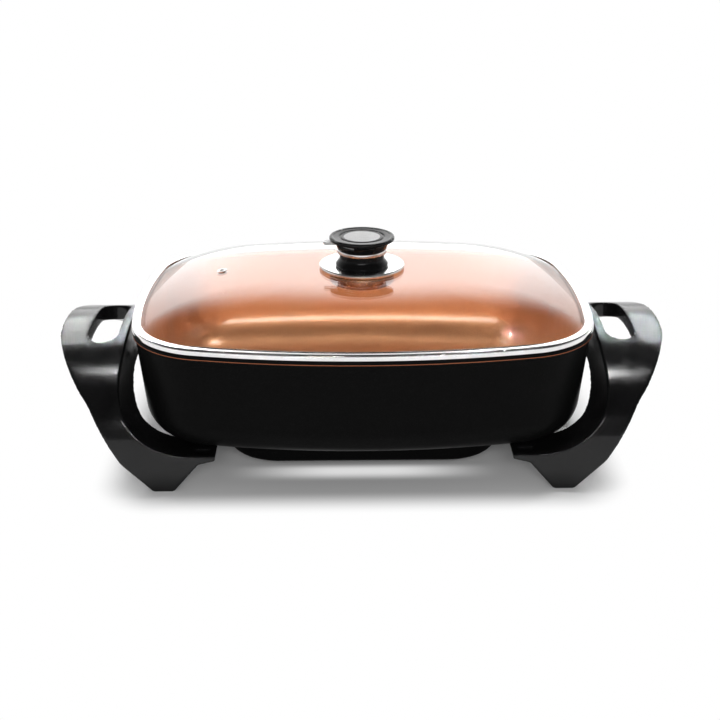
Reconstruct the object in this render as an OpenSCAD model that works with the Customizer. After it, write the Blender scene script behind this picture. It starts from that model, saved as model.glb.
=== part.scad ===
// Electric skillet: a deep rectangular pan with bowed sides, a cast-in heater under its floor,
// two moulded handles that are also its legs, and a domed glass lid that lifts off.
// Origin: centre of the footprint on the table. +Z up, +X towards the heater inlet, -Y the front.

/* [Rim outline] */
// Half length of the lid's rim, which the pan's plan follows
rim_half_length = 204; // [196:1:212]
// Half width of the lid's rim
rim_half_width = 152; // [146:1:158]
// Radius of the rim's corners
rim_corner_r = 74; // [70:1:80]
// Bow radius of the long sides
long_bow_r = 682; // [620:2:760]
// Bow radius of the short sides
short_bow_r = 556; // [500:2:640]

/* [Pan] */
// Height of the pan's rim above the table
pan_rim_z = 130.2; // [124:0.2:136]
// Height of the pan's underside above the table
pan_bottom_z = 34.5; // [33.5:0.5:37]
// How far the pan's wall stands inside the lid's rim
pan_inset = 2; // [1:0.5:3]
// Thickness of the pan's wall
pan_wall = 3.2; // [2.4:0.2:4]
// Thickness of the pan's floor
pan_floor = 6; // [5:0.5:7]
// Lean of the pan's wall, in degrees
pan_draft = 6; // [3:0.5:8]
// Outer radius between the pan's wall and its underside
pan_bottom_r = 45; // [38:1:50]
// Height of the bead round the pan's rim
rim_bead_h = 4; // [3:0.5:6]
// How far the bead stands out from the wall
rim_bead_out = 1.4; // [1:0.1:1.8]
// Thickness of the coating inside the pan
coating_t = 0.6; // [0.4:0.1:1]

/* [Heater] */
// Half length of the heater ring
heater_half_length = 121; // [112:1:124]
// Half width of the heater ring
heater_half_width = 95; // [88:1:98]
// Plan radius of the heater ring's corners
heater_corner_r = 48; // [44:1:60]
// Width of the heater ring
heater_ring_w = 34; // [30:1:38]
// Height of the heater ring
heater_ring_h = 22.5; // [20:0.5:24]
// Radius of the ring's outer lower edge
heater_edge_r = 20; // [14:1:20]
// Diameter of the heating element's tube
element_d = 8; // [6.5:0.5:9]
// Height of the element's axis above the table
element_z = 23.5; // [22:0.5:25]

/* [Inlet] */
// Diameter of a terminal pin
terminal_d = 6; // [5:0.5:7]
// Distance between the terminal pins
terminal_spacing = 26; // [24:1:30]
// Free length of a terminal pin
terminal_free = 26; // [20:1:30]
// Bore of the thermostat sensor's sleeve
sensor_bore_d = 8.4; // [7:0.2:9]
// Depth of the sensor's bore
sensor_depth = 42; // [30:1:50]
// Thickness of the inlet guard's sheet
guard_t = 1.5; // [1:0.25:2]

/* [Handles] */
// How far the legs' outer faces stand inside the lid's rim, front and back
leg_inset = 28; // [26:1:31]
// Height at which the legs start to bend over
shoulder_z = 36; // [32:1:42]
// Radius of the handles' shoulders
shoulder_r = 60; // [50:1:66]
// Turn of the shoulders before the flatter crown, in degrees
shoulder_turn = 58; // [54:1:62]
// Thickness of the moulded skin
skin_t = 5; // [4:0.5:6]
// Thickness of the flanges behind the skin
flange_t = 3.5; // [3:0.25:4]
// Depth of the flange that faces the pan
flange_depth = 37; // [34:1:40]
// Depth of the lip round the outer edge
lip_depth = 14; // [10:1:16]
// How far the feet's outer edges stand inside the lid's rim
foot_inset = 23; // [20:1:25]
// Width of a foot
foot_w = 18; // [16:1:21]
// How far the flange that faces the pan stands outside the lid's rim
flange_out = 6; // [5:1:8]
// Radius where that flange turns under the pan
flange_r = 60; // [56:1:64]
// Width of the hand slot
slot_w = 27; // [24:1:30]
// Length of the hand slot
slot_l = 94; // [84:1:100]
// Distance from the lid's rim out to the middle of the hand slot
slot_out = 28.5; // [27:0.5:30]
// Diameter of the handle screws
handle_screw_d = 5; // [4:0.5:5]

/* [Lid] */
// Gap between the lid's rim and the pan's rim
lid_seat = 0.3; // [0.2:0.1:0.6]
// Height of the steel rim band
band_h = 6; // [5.6:0.1:7]
// Width of the band's lips over the glass
band_lip = 8; // [6:0.5:10]
// Thickness of the band's steel
band_t = 0.8; // [0.6:0.1:1]
// Depth of the skirt that centres the lid in the pan
skirt_h = 4; // [3:0.5:6]
// Thickness of the glass
glass_t = 4; // [3:0.25:4.2]
// Rise of the dome above the band's seat
dome_rise = 26; // [24:1:30]
// Share of the dome's plan that is level, in its middle
dome_flat = 0.2; // [0.18:0.01:0.3]
// Squareness of the dome's shoulder
dome_power = 3.5; // [2.5:0.25:5]
// Distance from the centre to the vent's axis
vent_x = 127.5; // [120:0.5:127.5]
// Bore of the vent's eyelet
vent_d = 4; // [3:0.5:6]

/* [Knob] */
// Diameter of the knob's cap
cap_d = 59; // [56:1:62]
// Diameter of the knob's waist
waist_d = 45; // [43:1:47]
// Diameter of the bright dish under the knob
dish_d = 77.5; // [72:0.5:82]
// Height from the glass to the knob's top
knob_h = 29.5; // [28:0.5:33]
// Diameter of the knob's screw
knob_screw_d = 6; // [5:0.5:7]
// Turn of the steam lever from shut to open, in degrees
lever_turn = 60; // [30:5:60]

/* [Hidden] */

// Colours
pan_black = [0.07, 0.07, 0.07];
copper = [0.72, 0.40, 0.20];
bakelite = [0.10, 0.10, 0.10];
steel = [0.80, 0.80, 0.80];
clear_glass = [0.85, 0.92, 0.92, 0.35];
silicone = [0.75, 0.72, 0.68];

// Smoothness of full circles
round_fn = 96;

// Gap between parts of one body that sit inside each other
fit_gap = 0.05;
// Room round a screw's shank
screw_gap = 0.25;
// Steps along each long side, short side, corner, wall fillet, dome and band edge
long_steps = 12;
short_steps = 8;
corner_steps = 10;
fillet_steps = 7;
dome_steps = 8;
edge_steps = 3;

// Centres of the rim's arcs: the long sides' on the Y axis, the short sides' on the X axis
long_bow_y = long_bow_r - rim_half_width;
short_bow_x = short_bow_r - rim_half_length;

// Where a circle about p with radius a meets one about q with radius b, left of the way p to q
function meet(p, a, q, b) =
    let (d = norm(q - p), u = (q - p) / d, along = (a * a - b * b + d * d) / (2 * d))
    p + u * along + sqrt(a * a - along * along) * [-u[1], u[0]];

// Centre of the rim's front right corner, whose arc meets both sides without a kink
corner = meet([0, long_bow_y], long_bow_r - rim_corner_r,
              [-short_bow_x, 0], short_bow_r - rim_corner_r);
// Half of the angle that a long and a short side's arc spans
long_half_angle = asin(corner[0] / (long_bow_r - rim_corner_r));
short_half_angle = asin(-corner[1] / (short_bow_r - rim_corner_r));

// Pan section, as distance out from the lid's rim and height
function wall_x(inset, z) = -inset - (pan_rim_z - z) * tan(pan_draft);
// How far in from the rim a floor is lofted before one flat face closes it
floor_reach = -rim_corner_r + 2;

// Heater and inlet
heater_low_z = pan_bottom_z - heater_ring_h;
heater_inner_r = 6;
element_inset = 15;
element_bend_r = 12;
boss_in = 54;
boss_x = rim_half_length - boss_in;
boss_half_w = 22;
boss_low_z = 15;
insulator_d = 11;
insulator_l = 5;
terminal_shank_d = terminal_d - 0.4;
terminal_nose = 1;
sleeve_t = 0.8;
sleeve_out = 2;
guard_reach = 10;
guard_half_w = 27;
guard_low_z = 9;
guard_corner_r = 6;
guard_ear = 13;
guard_ear_l = 18;
guard_x = boss_x - 4;
guard_screw_x = guard_x + guard_ear_l / 2;
guard_screw_d = 4;
guard_screw_l = pan_floor - 1.5;
guard_hole_l = guard_screw_l + 0.5;
guard_head_d = 7.5;
guard_head_h = 2.6;

// Handles: the front view's corners as distance out, height and radius
leg_y = rim_half_width - leg_inset;
foot_out_x = rim_half_length - foot_inset;
foot_in_x = foot_out_x - foot_w;
flange_x = rim_half_length + flange_out;
slot_x = rim_half_length + slot_out;
crown_r = (leg_y - shoulder_r * (1 - cos(shoulder_turn))) / cos(shoulder_turn);
crown_z = shoulder_z + (shoulder_r - crown_r) * sin(shoulder_turn) + crown_r;
shelf_gap = 1.5;
shelf_z = pan_bottom_z - shelf_gap;
slot_wall_gap = 10;
slot_wall_low_z = shelf_z + slot_wall_gap;
clear_of = 10;
above_z = crown_z + clear_of;
below_z = -clear_of;
tongue_in = 77;
tongue_x = rim_half_length - tongue_in;
tongue_h = 4.5;
tongue_low_z = shelf_z - tongue_h;
leg_root_in = 21.5;
leg_root_z = 25;
leg_root_r = 4;
leg_root = [foot_in_x - leg_root_in, leg_root_z, leg_root_r];
knee_out = 26.5;
knee_z = 26;
knee_r = 30;
knee = [foot_out_x + knee_out, knee_z, knee_r];
waist_out = 24.5;
waist_z = 75;
waist_bend_r = 60;
waist = [flange_x + waist_out, waist_z, waist_bend_r];
shoulder_out = 61.5;
shoulder_drop = 3.35;
shoulder_edge_r = 8;
shoulder = [flange_x + shoulder_out, crown_z - shoulder_drop, shoulder_edge_r];
grip_lean = 2;
grip_x = shoulder[0] + grip_lean;
beyond_x = grip_x + 3 * clear_of;
foot_r = 2;
rib_zs = [17, 40];
rib_t = 2.5;
handle_screw_in = 12;
handle_screw_x = tongue_x + handle_screw_in;
handle_screw_side = 27;
handle_screw_y = leg_y - handle_screw_side;
handle_screw_l = 9;
handle_boss_d = 13;
window_x = handle_screw_x;
window_side = 10.8;
window_y = leg_y - window_side;
window_l = 14;
window_w = 10.5;
washer_t = 1;
washer_d = 11;
handle_head_d = 9;
handle_head_h = 3;

// Lid
seat_z = pan_rim_z + lid_seat;
band_top_z = seat_z + band_h;
glass_z = seat_z + (band_h - glass_t) / 2;
glass_edge = band_t + 0.4;
glass_top_z = glass_z + glass_t + dome_rise;
dome_inset = band_lip + 1;
skirt_t = 0.8;
band_r = 1.8;
glass_hole_d = 12;
eyelet_t = 1.2;
eyelet_flange = 1.6;
eyelet_rise = 0.9;
eyelet_curl = 0.5;

// Knob, from under the glass up
gasket_t = 1;
gasket_d = 38;
under_gasket_d = 24;
under_plate_d = 58.6;
under_plate_h = 10;
under_plate_t = 1.2;
under_edge_r = 4;
under_z = glass_top_z - glass_t - gasket_t;
dish_z = glass_top_z + gasket_t;
dish_t = 1;
dish_rise = 1.9;
dish_bend_r = 8;
dish_edge_r = 1.4;
dish_gap = 0.6;
base_z = dish_z + dish_t;
base_h = 12;
base_foot_h = 1.6;
base_foot_out = 1.4;
base_neck_h = 6.5;
base_neck_in = 2.3;
dish_foot_gap = 0.8;
dish_foot_d = waist_d + 2 * (base_foot_out + dish_foot_gap);
ring_z = base_z + base_h;
ring_h = 4;
ring_edge = 0.8;
grip_z = ring_z + ring_h;
grip_flare = 1;
grip_neck_h = 1.8;
grip_edge = 0.5;
knob_top_z = glass_top_z + knob_h;
cap_h = 4.9;
cap_z = knob_top_z - cap_h;
lever_h = 2.4;
lever_gap = 0.3;
lever_z = cap_z - lever_gap - lever_h;
lever_fit = 0.08;
lever_ring_d = 40;
lever_tab_l = 35;
lever_tab_w = 8;
lever_room = 0.8;
post_d = 34;
inlay_d = 33;
inlay_h = 0.8;
inlay_edge = 0.3;
groove_d = 40;
groove_w = 1.8;
cap_dip = 0.5;
cap_edge = 0.9;
cap_side_h = 3.3;
cap_lean = 0.875;
insert_d = 12;
knob_head_d = 13;
knob_head_h = 4;

// ---- Shared shapes ----

// One bowed side or corner of the rim as points [centre x, centre y, radius, angle]
function rim_arc(centre, r, from, to, steps) =
    [for (i = [0 : steps - 1]) [centre[0], centre[1], r, from + (to - from) * i / steps]];

// The whole rim, anticlockwise from the front end of the right-hand side
rim_plan = let (a = long_half_angle, b = short_half_angle, x = corner[0], y = -corner[1]) concat(
    rim_arc([-short_bow_x, 0], short_bow_r, -b, b, short_steps),
    rim_arc([x, y], rim_corner_r, b, 90 - a, corner_steps),
    rim_arc([0, -long_bow_y], long_bow_r, 90 - a, 90 + a, long_steps),
    rim_arc([-x, y], rim_corner_r, 90 + a, 180 - b, corner_steps),
    rim_arc([short_bow_x, 0], short_bow_r, 180 - b, 180 + b, short_steps),
    rim_arc([-x, -y], rim_corner_r, 180 + b, 270 - a, corner_steps),
    rim_arc([0, long_bow_y], long_bow_r, 270 - a, 270 + a, long_steps),
    rim_arc([x, -y], rim_corner_r, 270 + a, 360 - b, corner_steps));
rim_count = len(rim_plan);

// Lofts a section, given as points of distance out from the lid's rim and height, all round it.
// A third value shrinks that point's ring about the centre. The section runs from the inside out and down the outer wall. It either closes on itself or
// ends at flat floors, an upper one where it starts and a lower one where it ends.
module rim_loft(section, floors) {
    last = len(section) - 1;
    polyhedron(
        points = [for (s = section, p = rim_plan) let (k = len(s) > 2 ? s[2] : 1)
            [k * (p[0] + (p[2] + s[0]) * cos(p[3])), k * (p[1] + (p[2] + s[0]) * sin(p[3])), s[1]]],
        faces = concat(
            [for (j = [0 : floors ? last - 1 : last], k = [0 : rim_count - 1])
                let (j1 = (j + 1) % (last + 1), k1 = (k + 1) % rim_count)
                [j * rim_count + k, j * rim_count + k1, j1 * rim_count + k1, j1 * rim_count + k]],
            floors ? [[for (k = [rim_count - 1 : -1 : 0]) k],
                      [for (k = [0 : rim_count - 1]) last * rim_count + k]] : []),
        convexity = 6);
}

// Points along an arc about c from angle a to b
function arc(c, r, a, b, steps) =
    [for (i = [0 : steps]) c + r * [cos(a + (b - a) * i / steps), sin(a + (b - a) * i / steps)]];

// The part of a circle about c between two directions less than half a turn apart
module slice(c, r, a, b) {
    reach = 2 * r / cos((b - a) / 2);
    intersection() {
        translate(c) circle(r, $fn = round_fn);
        polygon([c, c + reach * [cos(a), sin(a)], c + reach * [cos((a + b) / 2), sin((a + b) / 2)],
                 c + reach * [cos(b), sin(b)]]);
    }
}

// Section of a basin from the middle of its floor to the top of its leaning wall
function basin(inset, low, r, top) =
    let (z = low + r, x = wall_x(inset, z) - r / cos(pan_draft))
    concat([[floor_reach, low]], arc([x, z], r, -90, -pan_draft, fillet_steps),
           [[wall_x(inset, top), top]]);

function reversed(points) = [for (i = [len(points) - 1 : -1 : 0]) points[i]];

// Points that round a corner of an outline at q, between p and s
function corner_arc(p, q, s, r, n) =
    r == 0 ? [q] :
    let (u = (p - q) / norm(p - q), v = (s - q) / norm(s - q),
         half = acos(u * v) / 2,
         c = q + (u + v) / norm(u + v) * r / sin(half),
         a = q + u * r / tan(half) - c,
         first = atan2(a[1], a[0]),
         turn = (180 - 2 * half) * sign(cross(q - p, s - q)))
    [for (i = [0 : n]) c + r * [cos(first + turn * i / n), sin(first + turn * i / n)]];

// An outline from corners given as [x, y, radius]
function rounded(corners, n = 12) =
    let (k = len(corners), at = function (i) [corners[i % k][0], corners[i % k][1]])
    [for (i = [0 : k - 1]) each corner_arc(at(i + k - 1), at(i), at(i + 1), corners[i][2], n)];

// A pan-head screw with its head down and its shank up from z = 0
module screw(shank_d, shank_l, head_d, head_h) {
    rotate_extrude($fn = 48)
        polygon([[0, -head_h], [head_d * 0.36, -head_h], [head_d * 0.5, -head_h * 0.45],
                 [head_d * 0.5, 0], [shank_d / 2, 0], [shank_d / 2, shank_l - 1],
                 [shank_d / 2 - 1, shank_l], [0, shank_l]]);
}

// Cross recess in a screw's head, cut from below
module cross_recess(size, depth, low) {
    for (a = [0, 90]) translate([0, 0, low + depth / 2]) rotate(a)
        cube([size, size * 0.22, depth], center = true);
}

// Places something at each of the four handle screws
module at_handle_screws() {
    for (sx = [-1, 1], sy = [-1, 1])
        translate([sx * handle_screw_x, sy * handle_screw_y, 0]) children();
}

// Places something at both guard screws
module at_guard_screws() {
    for (s = [-1, 1])
        translate([guard_screw_x, s * (guard_half_w + guard_t + guard_ear / 2), 0]) children();
}

// Turns a section of depth along Y and height into a bar along X
module along_x(x, l) {
    translate([x, 0, 0]) rotate([90, 0, 90]) linear_extrude(l) children();
}

// Turns a front view into a bar along Y, to both sides of the middle
module along_y(l) {
    rotate([90, 0, 0]) linear_extrude(l, center = true) children();
}

// A tube or pin along +X from the given point
module rod_x(x, y, z, d, l) {
    translate([x, y, z]) rotate([0, 90, 0]) cylinder(d = d, h = l, $fn = 48);
}

// ---- Pan and heater ----

module pan_body() {
    boss_top_z = pan_bottom_z + 4;
    bead_x = wall_x(pan_inset, pan_rim_z) + rim_bead_out;
    bead_low_z = pan_rim_z - rim_bead_h;
    color(pan_black) difference() {
        union() {
            rim_loft(concat(
                basin(pan_inset + pan_wall, pan_bottom_z + pan_floor, pan_bottom_r - pan_wall - 1,
                      pan_rim_z),
                [[bead_x - 0.6, pan_rim_z], [bead_x, pan_rim_z - 0.6], [bead_x, bead_low_z + 0.6],
                 [bead_x - 0.6, bead_low_z]],
                reversed(basin(pan_inset, pan_bottom_z, pan_bottom_r, bead_low_z))), true);
            at_handle_screws() translate([0, 0, shelf_z])
                cylinder(d = handle_boss_d, h = boss_top_z - shelf_z, $fn = 48);
        }
        at_handle_screws() translate([0, 0, shelf_z - 1])
            cylinder(d = handle_screw_d, h = boss_top_z + 1 - shelf_z, $fn = 48);
        at_guard_screws() translate([0, 0, pan_bottom_z - 1])
            cylinder(d = guard_screw_d, h = guard_hole_l + 1, $fn = 32);
    }
}

module interior_coating() {
    inset = pan_inset + pan_wall + fit_gap;
    low = pan_bottom_z + pan_floor + fit_gap;
    r = pan_bottom_r - pan_wall - 1 - fit_gap;
    color(copper) rim_loft(concat(
        basin(inset + coating_t, low + coating_t, r - coating_t, pan_rim_z),
        reversed(basin(inset, low, r, pan_rim_z))), true);
}

// Section of the heater ring, as distance out from its outline and height
module ring_section() {
    inner = heater_inner_r - heater_ring_w;
    slice([-heater_edge_r, heater_low_z + heater_edge_r], heater_edge_r, -90, 0);
    slice([inner, heater_low_z + heater_inner_r], heater_inner_r, -180, -90);
    polygon([[-heater_ring_w, heater_low_z + heater_inner_r], [inner, heater_low_z + heater_inner_r],
             [inner, heater_low_z], [-heater_edge_r, heater_low_z],
             [-heater_edge_r, heater_low_z + heater_edge_r], [0, heater_low_z + heater_edge_r],
             [0, pan_bottom_z], [-heater_ring_w, pan_bottom_z]]);
}

// Carries a section round a straight-sided loop. The end towards +X can be left out.
module around_loop(half_l, half_w, r, closed = true) {
    for (i = [closed ? 0 : 1 : 3])
        rotate(90 * i) translate([i % 2 == 0 ? half_l : half_w, 0, 0])
            along_y(2 * ((i % 2 == 0 ? half_w : half_l) - r)) children();
    for (sx = [0, 1], sy = [0, 1])
        mirror([sx, 0, 0]) mirror([0, sy, 0]) translate([half_l - r, half_w - r, 0])
            rotate_extrude(angle = 90, $fn = round_fn) translate([r, 0]) children();
}

// The element's tube: round the ring, then both ends out through the inlet boss
module element_tube(d) {
    side_x = heater_half_length - element_inset;
    lead_y = terminal_spacing / 2;
    straight = heater_half_width - heater_corner_r - lead_y - element_bend_r;
    around_loop(heater_half_length, heater_half_width, heater_corner_r, closed = false)
        translate([-element_inset, element_z]) circle(d = d, $fn = 32);
    for (s = [0, 1]) mirror([0, s, 0]) {
        translate([side_x, lead_y + element_bend_r, element_z]) rotate([-90, 0, 0])
            cylinder(d = d, h = straight, $fn = 32);
        translate([side_x + element_bend_r, lead_y + element_bend_r, element_z])
            rotate_extrude(start = 180, angle = 90, $fn = round_fn)
                translate([element_bend_r, 0]) circle(d = d, $fn = 32);
        translate([side_x + element_bend_r, lead_y, element_z]) rotate([0, 90, 0])
            cylinder(d = d, h = boss_x - side_x - element_bend_r, $fn = 32);
    }
}

module heater_casting() {
    color(pan_black) difference() {
        union() {
            around_loop(heater_half_length, heater_half_width, heater_corner_r) ring_section();
            translate([heater_half_length - heater_ring_w / 2, -boss_half_w, boss_low_z])
                cube([boss_x - heater_half_length + heater_ring_w / 2, 2 * boss_half_w,
                      pan_bottom_z - boss_low_z]);
        }
        element_tube(element_d + 2 * fit_gap);
        rod_x(boss_x - sensor_depth, 0, element_z, sensor_bore_d + 2 * (sleeve_t + fit_gap),
              sensor_depth + 1);
    }
}

module heating_element() {
    color(steel) element_tube(element_d);
}

// Each pin has a thinner shank in its insulator and a free end with a chamfered nose
module terminal_pins() {
    r = terminal_d / 2;
    tip = insulator_l + terminal_free;
    color(steel) for (s = [-1, 1])
        translate([boss_x, s * terminal_spacing / 2, element_z]) rotate([0, 90, 0])
            rotate_extrude($fn = 48)
                polygon([[0, 0], [terminal_shank_d / 2, 0], [terminal_shank_d / 2, insulator_l],
                         [r, insulator_l], [r, tip - terminal_nose], [r - terminal_nose, tip],
                         [0, tip]]);
}

module terminal_insulators() {
    color("white") for (s = [-1, 1])
        difference() {
            rod_x(boss_x, s * terminal_spacing / 2, element_z, insulator_d, insulator_l);
            rod_x(boss_x - 1, s * terminal_spacing / 2, element_z, terminal_shank_d + 2 * fit_gap,
                  insulator_l + 2);
        }
}

// A steel thimble in the boss, closed at its inner end, that takes the thermostat's sensor rod
module sensor_sleeve() {
    outer_d = sensor_bore_d + 2 * sleeve_t;
    color(steel) difference() {
        rod_x(boss_x - sensor_depth + fit_gap, 0, element_z, outer_d, sensor_depth + sleeve_out - fit_gap);
        rod_x(boss_x - sensor_depth + sleeve_t, 0, element_z, sensor_bore_d,
              sensor_depth + sleeve_out);
    }
}

// Bent sheet under the terminals, open at its end and held by an ear each side
module inlet_guard() {
    length = insulator_l + terminal_free + guard_reach + boss_x - guard_x;
    outer_w = guard_half_w + guard_t;
    ear_z = pan_bottom_z - guard_t;
    color(steel) difference() {
        union() {
            along_x(guard_x, length) difference() {
                polygon(rounded([[-outer_w, guard_low_z, guard_corner_r + guard_t],
                                 [outer_w, guard_low_z, guard_corner_r + guard_t],
                                 [outer_w, ear_z, 0], [-outer_w, ear_z, 0]]));
                polygon(rounded([[-guard_half_w, guard_low_z + guard_t, guard_corner_r],
                                 [guard_half_w, guard_low_z + guard_t, guard_corner_r],
                                 [guard_half_w, ear_z + 1, 0], [-guard_half_w, ear_z + 1, 0]]));
            }
            for (s = [0, 1]) mirror([0, s, 0]) translate([guard_x, guard_half_w, ear_z])
                cube([guard_ear_l, guard_t + guard_ear, guard_t]);
        }
        at_guard_screws() translate([0, 0, ear_z - 1])
            cylinder(d = guard_screw_d + 2 * screw_gap, h = guard_t + 2, $fn = 32);
    }
}

module guard_screws() {
    color(steel) at_guard_screws() translate([0, 0, pan_bottom_z - guard_t]) difference() {
        screw(guard_screw_d - 2 * fit_gap, guard_t + guard_screw_l, guard_head_d, guard_head_h);
        cross_recess(0.6 * guard_head_d, 1.4, -guard_head_h - 0.1);
    }
}

// ---- Handles ----

// Side view of everything under the handles' arch, inset from its outer face: a crown, two
// shoulders that run a little into the crown and the legs, and the room between the legs
module arch_area(inset = 0) {
    lap = 4;
    shoulder_y = leg_y - shoulder_r;
    outer_y = leg_y - inset;
    slice([0, crown_z - crown_r], crown_r - inset, shoulder_turn, 180 - shoulder_turn);
    for (s = [0, 1]) mirror([s, 0])
        slice([shoulder_y, shoulder_z], shoulder_r - inset, -lap, shoulder_turn + lap);
    polygon([[-outer_y, below_z], [outer_y, below_z], [outer_y, shoulder_z],
             [shoulder_y + lap, shoulder_z + lap], [0, shoulder_z + 2 * lap],
             [-shoulder_y - lap, shoulder_z + lap], [-outer_y, shoulder_z]]);
}

// Front view of a handle, and of its pocket when the flange facing the pan stays behind
function handle_outline() = rounded([
    [foot_in_x, 0, foot_r], [foot_out_x, 0, foot_r], knee, waist, shoulder, [grip_x, above_z, 0],
    [flange_x, above_z, 0], [flange_x, shelf_z, flange_r], [tongue_x, shelf_z, 0],
    [tongue_x, tongue_low_z, foot_r / 2], leg_root]);

module behind_flange() {
    polygon(rounded([
        [flange_x + flange_t, above_z, 0], [flange_x + flange_t, shelf_z - flange_t, flange_r + flange_t],
        [tongue_x - 1, shelf_z - flange_t, 0], [tongue_x - 1, below_z, 0], [beyond_x, below_z, 0],
        [beyond_x, above_z, 0]]));
}

// Plan of the hand slot, with round ends
module slot_plan(grow = 0) {
    run = (slot_l - slot_w) / 2;
    translate([slot_x, 0]) {
        square([slot_w + 2 * grow, 2 * run], center = true);
        for (s = [-1, 1]) translate([0, s * run]) circle(d = slot_w + 2 * grow, $fn = 64);
    }
}

// One moulded piece: arched skin, a deep flange towards the pan that becomes a shelf under it, a
// shallow lip round the rest, a hand slot over the crown, and four sides that end as two feet
module handle() {
    width = 2 * leg_y + 2;
    from = tongue_x - 2;
    length = beyond_x - from;
    color(bakelite) difference() {
        intersection() {
            along_y(width) polygon(handle_outline());
            along_x(from, length) arch_area();
        }
        along_x(from, length) arch_area(flange_depth);
        intersection() {
            along_y(width) behind_flange();
            along_x(from, length) arch_area(lip_depth);
        }
        difference() {
            intersection() {
                along_y(width) offset(delta = -flange_t) polygon(handle_outline());
                along_x(from, length) arch_area(skin_t);
            }
            translate([0, 0, slot_wall_low_z]) linear_extrude(above_z) slot_plan(flange_t);
            for (z = rib_zs) translate([from, -width / 2, z]) cube([length, width, rib_t]);
        }
        linear_extrude(above_z) slot_plan();
        for (s = [-1, 1]) {
            translate([handle_screw_x, s * handle_screw_y, shelf_z - flange_t - 1])
                cylinder(d = handle_screw_d + 2 * screw_gap, h = flange_t + 2, $fn = 32);
            translate([window_x, s * window_y, shelf_z - flange_t / 2])
                cube([window_l, window_w, flange_t + 2], center = true);
        }
    }
}

module handle_right() {
    handle();
}

module handle_left() {
    mirror([1, 0, 0]) handle();
}

module handle_washers() {
    low = shelf_z - flange_t - washer_t;
    color(steel) at_handle_screws() translate([0, 0, low]) difference() {
        cylinder(d = washer_d, h = washer_t, $fn = 48);
        translate([0, 0, -1]) cylinder(d = handle_screw_d + 2 * screw_gap, h = washer_t + 2, $fn = 32);
    }
}

module handle_screws() {
    low = shelf_z - flange_t - washer_t;
    color(steel) at_handle_screws() translate([0, 0, low]) difference() {
        screw(handle_screw_d - 2 * fit_gap, handle_screw_l, handle_head_d, handle_head_h);
        cross_recess(0.6 * handle_head_d, 1.6, -handle_head_h - 0.1);
    }
}

// ---- Lid ----

// Share of the plan, and height, of one of the dome's rings, from the level middle outwards
function dome_share(i) = dome_flat + (1 - dome_flat) * i / dome_steps;
function dome_z(i) = glass_z + glass_t + dome_rise * (1 - pow(i / dome_steps, dome_power));

// The vent stands square on the glass between two of the dome's rings
dome_reach = rim_half_length - dome_inset;
vent_ring = floor(dome_steps * (vent_x / dome_reach - dome_flat) / (1 - dome_flat));
vent_slope = (dome_z(vent_ring) - dome_z(vent_ring + 1))
    / (dome_reach * (dome_share(vent_ring + 1) - dome_share(vent_ring)));
vent_z = dome_z(vent_ring) - vent_slope * (vent_x - dome_reach * dome_share(vent_ring));
vent_tilt = atan(vent_slope);

module at_vent() {
    translate([-vent_x, 0, vent_z]) rotate([0, -vent_tilt, 0]) children();
}

// A flat edge that the band holds, then a dome that is level at its middle
module lid_glass() {
    top = [for (i = [0 : dome_steps]) [-dome_inset, dome_z(i), dome_share(i)]];
    color(clear_glass) difference() {
        rim_loft(concat(top, [[-glass_edge, glass_z + glass_t], [-glass_edge, glass_z]],
            [for (p = reversed(top)) [p[0], p[1] - glass_t, p[2]]]), true);
        translate([0, 0, glass_top_z - glass_t - 1])
            cylinder(d = glass_hole_d, h = glass_t + 2, $fn = 48);
        at_vent() cylinder(d = vent_d + 2 * (eyelet_t + fit_gap), h = 3 * glass_t, center = true,
                           $fn = 48);
    }
}

// Steel band folded over the glass edge, with a skirt that drops inside the pan's rim
module lid_band() {
    channel_x = -glass_edge + fit_gap;
    channel_low = glass_z - fit_gap;
    channel_top = glass_z + glass_t + fit_gap;
    skirt_z = seat_z - skirt_h;
    color(steel) rim_loft(concat(
        [[-band_lip, channel_top], [-band_lip, band_top_z]],
        arc([-band_r, band_top_z - band_r], band_r, 90, 0, edge_steps),
        arc([-band_r, seat_z + band_r], band_r, 0, -90, edge_steps),
        [[-band_lip + skirt_t, seat_z], [-band_lip + skirt_t, skirt_z], [-band_lip, skirt_z],
         [-band_lip, channel_low], [channel_x, channel_low], [channel_x, channel_top]]), false);
}

module vent_eyelet() {
    bore = vent_d / 2;
    barrel = bore + eyelet_t;
    flange = barrel + eyelet_flange;
    high = fit_gap;
    low = -glass_t * cos(vent_tilt) - fit_gap;
    color(steel) at_vent() rotate_extrude($fn = 48)
        polygon([[bore, low - eyelet_rise], [flange - eyelet_curl, low - eyelet_rise], [flange, low],
                 [barrel, low], [barrel, high], [flange, high],
                 [flange - eyelet_curl, high + eyelet_rise], [bore, high + eyelet_rise]]);
}

module under_gasket() {
    color(silicone) translate([0, 0, under_z]) ring(under_gasket_d, knob_screw_d + 1, gasket_t);
}

// Steel cup that spreads the screw's load under the glass, open downwards
module under_plate() {
    hole = knob_screw_d / 2 + screw_gap;
    rim = under_plate_d / 2;
    low = under_z - under_plate_h;
    bend = [rim - under_edge_r, under_z - under_edge_r];
    color(steel) rotate_extrude($fn = round_fn)
        polygon(concat([[hole, under_z - under_plate_t], [hole, under_z]],
                       arc(bend, under_edge_r, 90, 0, edge_steps),
                       [[rim, low], [rim - under_plate_t, low]],
                       arc(bend, under_edge_r - under_plate_t, 0, 90, edge_steps)));
}

// ---- Knob ----

// A flat ring that stands on z = 0
module ring(outer_d, inner_d, h) {
    difference() {
        cylinder(d = outer_d, h = h, $fn = round_fn);
        translate([0, 0, -1]) cylinder(d = inner_d, h = h + 2, $fn = round_fn);
    }
}

module dish_gasket() {
    color(silicone) translate([0, 0, glass_top_z]) ring(gasket_d, knob_screw_d + 1, gasket_t);
}

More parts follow.
